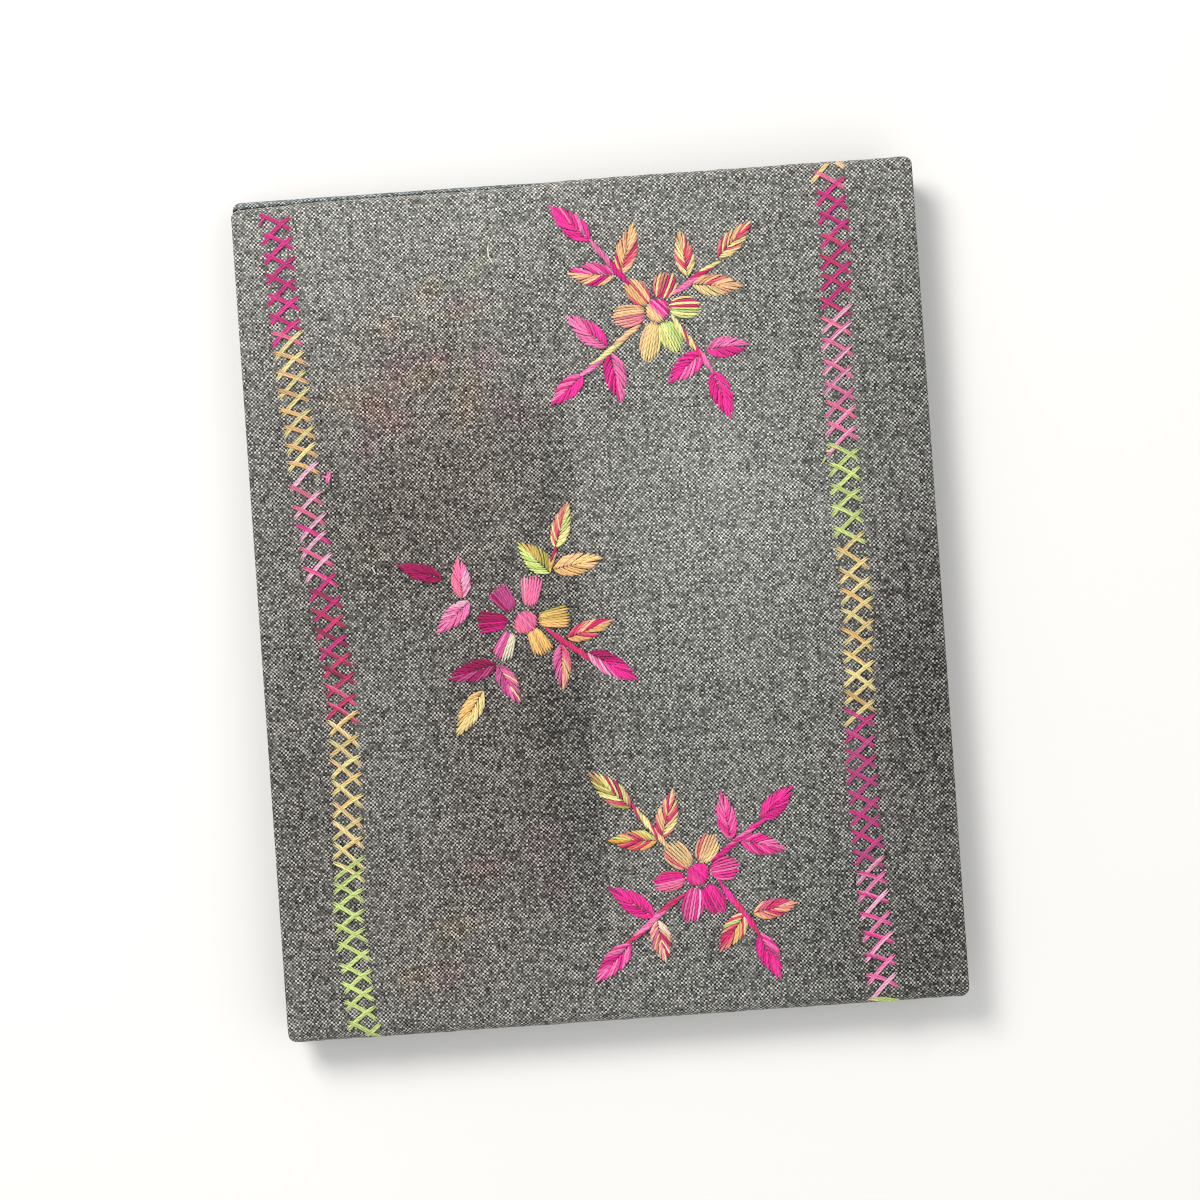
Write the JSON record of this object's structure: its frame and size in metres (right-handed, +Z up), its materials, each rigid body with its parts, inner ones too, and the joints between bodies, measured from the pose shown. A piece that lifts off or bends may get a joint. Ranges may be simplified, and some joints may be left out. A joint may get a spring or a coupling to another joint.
{
  "type": "folded handwoven wool shawl",
  "caption": "Grey handwoven wool shawl folded into a flat packet, with herringbone bands and embroidered flower sprays.",
  "frame": {"origin": "middle of the flat underside of the folded packet, on the surface it lies on", "axes": "+Z up out of the embroidered face, +Y along the shawl's length towards the fold at its head, +X across the shawl to the right of someone looking down at the face"},
  "size_m": [0.2334, 0.2899, 0.0224],
  "materials": {
    "cloth": "matt grey melange plain weave in wool",
    "inner_cloth": "matt grey melange plain weave in wool, folded layers",
    "band_thread": "wool embroidery thread that changes colour, herringbone stitch",
    "spray_thread": "wool embroidery thread that changes colour, satin and fishbone stitch",
    "dark_spray_thread": "wool embroidery thread in deeper colours, satin and fishbone stitch"
  },
  "bodies": {
    "root": {"face_panel": "cloth", "second_fold": "cloth", "base_panel": "cloth", "inner_layers": "inner_cloth", "band_left": "band_thread", "band_right": "band_thread", "spray_top": "spray_thread", "spray_bottom": "spray_thread", "spray_middle_flower": "dark_spray_thread", "spray_middle_upper_right": "dark_spray_thread", "spray_middle_upper_left": "dark_spray_thread", "spray_middle_upper_left_tip": "dark_spray_thread", "spray_middle_lower_left": "dark_spray_thread", "spray_middle_lower_left_tip": "dark_spray_thread"}
  },
  "joints": []
}
